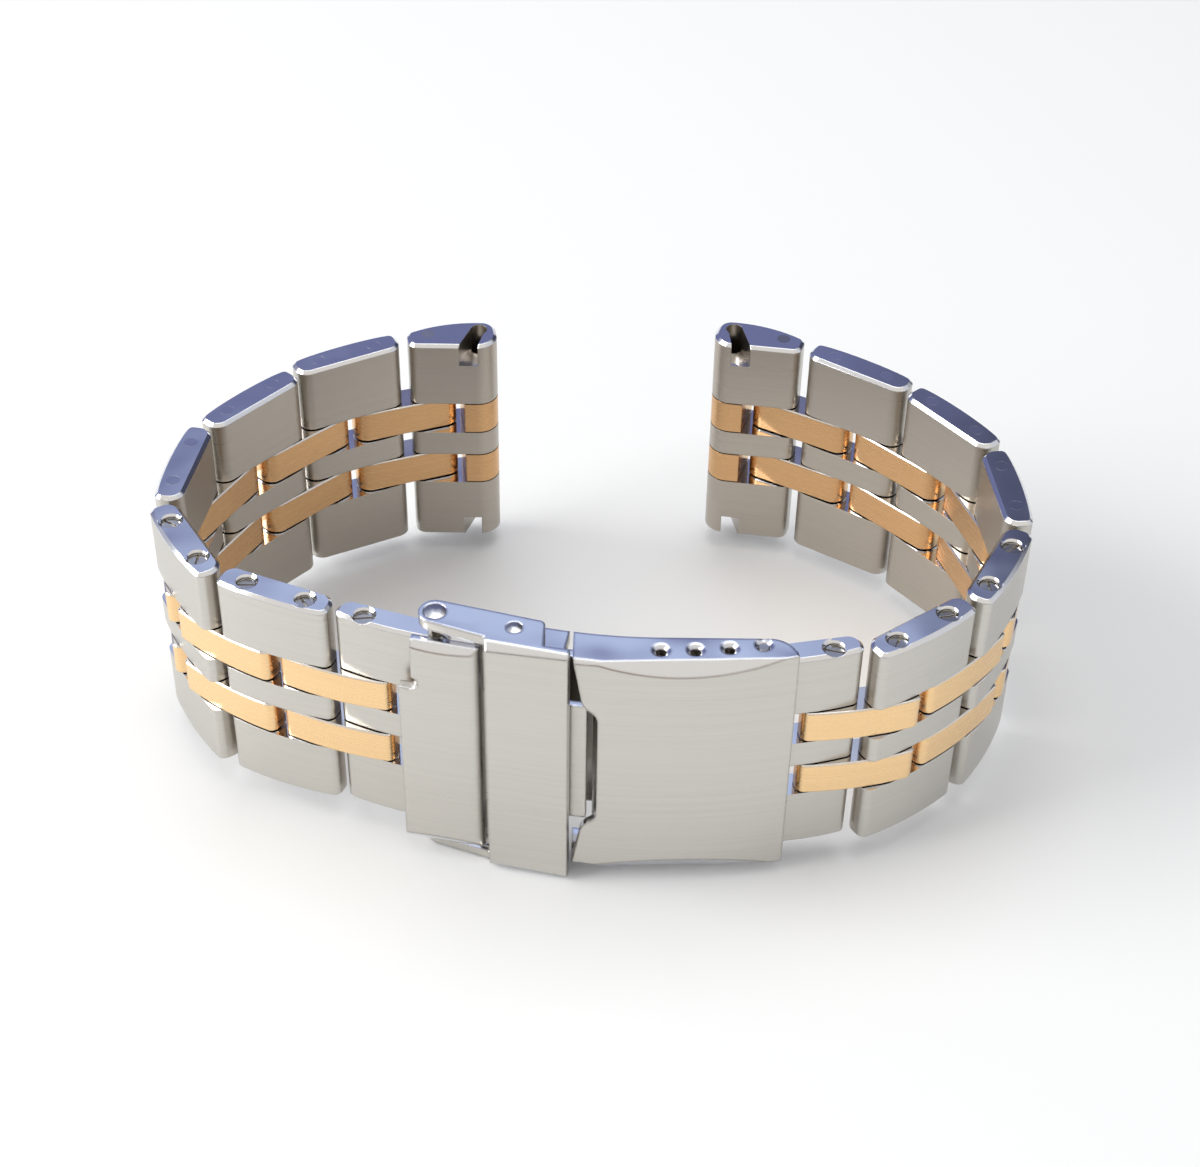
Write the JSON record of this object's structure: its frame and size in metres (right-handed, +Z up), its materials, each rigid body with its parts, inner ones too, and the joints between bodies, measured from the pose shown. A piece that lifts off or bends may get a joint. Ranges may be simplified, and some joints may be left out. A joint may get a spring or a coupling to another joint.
{
  "type": "five link watch bracelet",
  "caption": "Two-tone metal watch bracelet of steel and gold links in five rows, with a folding clasp and safety catch, closed and standing on its edge.",
  "frame": {"origin": "centre of the bounding box in plan, at the resting plane under the lower ear of the safety catch", "axes": "+Z up along all hinge pins, +Y from the clasp towards the watch ends, +X to the right seen from the clasp"},
  "size_m": [0.0726, 0.0468, 0.0252],
  "materials": {
    "steel": "satin faces, polished bevels and side faces",
    "gold": "satin gold plating",
    "pin_steel": "bright"
  },
  "bodies": {
    "left_link_6": {"left_link_6": "steel", "left_pins_6": "pin_steel"},
    "left_gold_6": {"left_gold_6": "gold"},
    "left_link_5": {"left_link_5": "steel", "left_pins_5": "pin_steel"},
    "left_gold_5": {"left_gold_5": "gold"},
    "left_link_4": {"left_link_4": "steel", "left_pins_4": "pin_steel"},
    "left_gold_4": {"left_gold_4": "gold"},
    "left_link_3": {"left_link_3": "steel", "left_pins_3": "pin_steel"},
    "left_gold_3": {"left_gold_3": "gold"},
    "left_link_2": {"left_link_2": "steel", "left_pins_2": "pin_steel"},
    "left_gold_2": {"left_gold_2": "gold"},
    "left_link_1": {"left_link_1": "steel", "left_pins_1": "pin_steel"},
    "left_gold_1": {"left_gold_1": "gold"},
    "left_end_link": {"left_end_link": "steel", "left_end_inserts": "gold", "left_end_pins": "pin_steel"},
    "right_link_6": {"right_link_6": "steel", "right_pins_6": "pin_steel", "right_fillers": "gold"},
    "right_gold_6": {"right_gold_6": "gold"},
    "right_link_5": {"right_link_5": "steel", "right_pins_5": "pin_steel"},
    "right_gold_5": {"right_gold_5": "gold"},
    "right_link_4": {"right_link_4": "steel", "right_pins_4": "pin_steel"},
    "right_gold_4": {"right_gold_4": "gold"},
    "right_link_3": {"right_link_3": "steel", "right_pins_3": "pin_steel"},
    "right_gold_3": {"right_gold_3": "gold"},
    "right_link_2": {"right_link_2": "steel", "right_pins_2": "pin_steel"},
    "right_gold_2": {"right_gold_2": "gold"},
    "right_link_1": {"right_link_1": "steel", "right_pins_1": "pin_steel"},
    "right_gold_1": {"right_gold_1": "gold"},
    "right_end_link": {"right_end_link": "steel", "right_end_inserts": "gold", "right_end_pins": "pin_steel"},
    "clasp_base": {"end_block": "steel", "latch_frame": "steel", "left_fillers": "gold", "catch_pivot_pin": "pin_steel", "inner_blade": "steel", "latch_stud": "pin_steel", "fold_hinge_pin": "pin_steel"},
    "safety_catch": {"safety_catch": "steel", "catch_rivets": "pin_steel"},
    "middle_blade": {"middle_blade": "steel"},
    "clasp_cover": {"clasp_cover": "steel", "cover_hinge_pin": "pin_steel", "spring_bar_tube": "pin_steel", "spring_bar_tips": "pin_steel", "spring_bar_coil": "pin_steel"}
  },
  "joints": [
    {"name": "catch_hinge", "type": "hinge", "parent": "clasp_base", "child": "safety_catch", "pos_m": [-0.01202, -0.01841, 0.01262], "axis": [0, 0, -1], "range_deg": [0, 125]},
    {"name": "fold_hinge", "type": "hinge", "parent": "clasp_base", "child": "middle_blade", "pos_m": [0.01085, -0.01868, 0.01262], "axis": [0, 0, 1], "range_deg": [0, 165]},
    {"name": "cover_hinge", "type": "hinge", "parent": "middle_blade", "child": "clasp_cover", "pos_m": [0.00113, -0.02032, 0.01262], "axis": [0, 0, -1], "range_deg": [0, 165]},
    {"name": "left_link_6_hinge", "type": "hinge", "parent": "clasp_base", "child": "left_link_6", "pos_m": [-0.01202, -0.01841, 0.01262], "axis": [0, 0, 1], "range_deg": [-22, 8]},
    {"name": "left_gold_6_hinge", "type": "hinge", "parent": "left_link_6", "child": "left_gold_6", "pos_m": [-0.01782, -0.01653, 0.01262], "axis": [0, 0, 1], "range_deg": [-22, 7]},
    {"name": "left_link_5_hinge", "type": "hinge", "parent": "left_gold_6", "child": "left_link_5", "pos_m": [-0.02264, -0.01486, 0.01262], "axis": [0, 0, 1], "range_deg": [-22, 9]},
    {"name": "left_gold_5_hinge", "type": "hinge", "parent": "left_link_5", "child": "left_gold_5", "pos_m": [-0.02746, -0.01292, 0.01262], "axis": [0, 0, -1], "range_deg": [-18, 22]},
    {"name": "left_link_4_hinge", "type": "hinge", "parent": "left_gold_5", "child": "left_link_4", "pos_m": [-0.03169, -0.01006, 0.01262], "axis": [0, 0, -1], "range_deg": [-30, 10]},
    {"name": "left_gold_4_hinge", "type": "hinge", "parent": "left_link_4", "child": "left_gold_4", "pos_m": [-0.03445, -0.00566, 0.01262], "axis": [0, 0, 1], "range_deg": [-8, 32]},
    {"name": "left_link_3_hinge", "type": "hinge", "parent": "left_gold_4", "child": "left_link_3", "pos_m": [-0.03498, -0.00058, 0.01262], "axis": [0, 0, -1], "range_deg": [-21, 19]},
    {"name": "left_gold_3_hinge", "type": "hinge", "parent": "left_link_3", "child": "left_gold_3", "pos_m": [-0.03417, 0.00455, 0.01262], "axis": [0, 0, -1], "range_deg": [-26, 14]},
    {"name": "left_link_2_hinge", "type": "hinge", "parent": "left_gold_3", "child": "left_link_2", "pos_m": [-0.0317, 0.00901, 0.01262], "axis": [0, 0, -1], "range_deg": [-19.5, 20.5]},
    {"name": "left_gold_2_hinge", "type": "hinge", "parent": "left_link_2", "child": "left_gold_2", "pos_m": [-0.02818, 0.01285, 0.01262], "axis": [0, 0, -1], "range_deg": [-9.5, 22]},
    {"name": "left_link_1_hinge", "type": "hinge", "parent": "left_gold_2", "child": "left_link_1", "pos_m": [-0.02451, 0.01639, 0.01262], "axis": [0, 0, -1], "range_deg": [-23, 17]},
    {"name": "left_gold_1_hinge", "type": "hinge", "parent": "left_link_1", "child": "left_gold_1", "pos_m": [-0.01988, 0.01875, 0.01262], "axis": [0, 0, 1], "range_deg": [-22, 13]},
    {"name": "left_end_link_hinge", "type": "hinge", "parent": "left_gold_1", "child": "left_end_link", "pos_m": [-0.01509, 0.02049, 0.01262], "axis": [0, 0, -1], "range_deg": [-15.5, 22]},
    {"name": "right_link_6_hinge", "type": "hinge", "parent": "clasp_cover", "child": "right_link_6", "pos_m": [0.01329, -0.02055, 0.01262], "axis": [0, 0, 1], "range_deg": [0, 22]},
    {"name": "right_gold_6_hinge", "type": "hinge", "parent": "right_link_6", "child": "right_gold_6", "pos_m": [0.01889, -0.01946, 0.01262], "axis": [0, 0, -1], "range_deg": [-22, 7]},
    {"name": "right_link_5_hinge", "type": "hinge", "parent": "right_gold_6", "child": "right_link_5", "pos_m": [0.02388, -0.0184, 0.01262], "axis": [0, 0, 1], "range_deg": [-30, 10]},
    {"name": "right_gold_5_hinge", "type": "hinge", "parent": "right_link_5", "child": "right_gold_5", "pos_m": [0.02808, -0.01534, 0.01262], "axis": [0, 0, 1], "range_deg": [-15, 22]},
    {"name": "right_link_4_hinge", "type": "hinge", "parent": "right_gold_5", "child": "right_link_4", "pos_m": [0.03169, -0.01174, 0.01262], "axis": [0, 0, -1], "range_deg": [-16.5, 23.5]},
    {"name": "right_gold_4_hinge", "type": "hinge", "parent": "right_link_4", "child": "right_gold_4", "pos_m": [0.03409, -0.00713, 0.01262], "axis": [0, 0, 1], "range_deg": [-23.5, 16.5]},
    {"name": "right_link_3_hinge", "type": "hinge", "parent": "right_gold_4", "child": "right_link_3", "pos_m": [0.03498, -0.0021, 0.01262], "axis": [0, 0, 1], "range_deg": [-22.5, 17.5]},
    {"name": "right_gold_3_hinge", "type": "hinge", "parent": "right_link_3", "child": "right_gold_3", "pos_m": [0.03439, 0.00306, 0.01262], "axis": [0, 0, -1], "range_deg": [-21.5, 18.5]},
    {"name": "right_link_2_hinge", "type": "hinge", "parent": "right_gold_3", "child": "right_link_2", "pos_m": [0.03273, 0.00788, 0.01262], "axis": [0, 0, 1], "range_deg": [-27, 13]},
    {"name": "right_gold_2_hinge", "type": "hinge", "parent": "right_link_2", "child": "right_gold_2", "pos_m": [0.02939, 0.01187, 0.01262], "axis": [0, 0, 1], "range_deg": [-12, 22]},
    {"name": "right_link_1_hinge", "type": "hinge", "parent": "right_gold_2", "child": "right_link_1", "pos_m": [0.02572, 0.01541, 0.01262], "axis": [0, 0, -1], "range_deg": [-22, 17.5]},
    {"name": "right_gold_1_hinge", "type": "hinge", "parent": "right_link_1", "child": "right_gold_1", "pos_m": [0.02133, 0.0182, 0.01262], "axis": [0, 0, 1], "range_deg": [-10, 22]},
    {"name": "right_end_link_hinge", "type": "hinge", "parent": "right_gold_1", "child": "right_end_link", "pos_m": [0.01685, 0.02064, 0.01262], "axis": [0, 0, -1], "range_deg": [-22, 16.5]}
  ],
  "couplings": [
    {"joint": "fold_hinge", "follows": "cover_hinge", "ratio": 1}
  ]
}
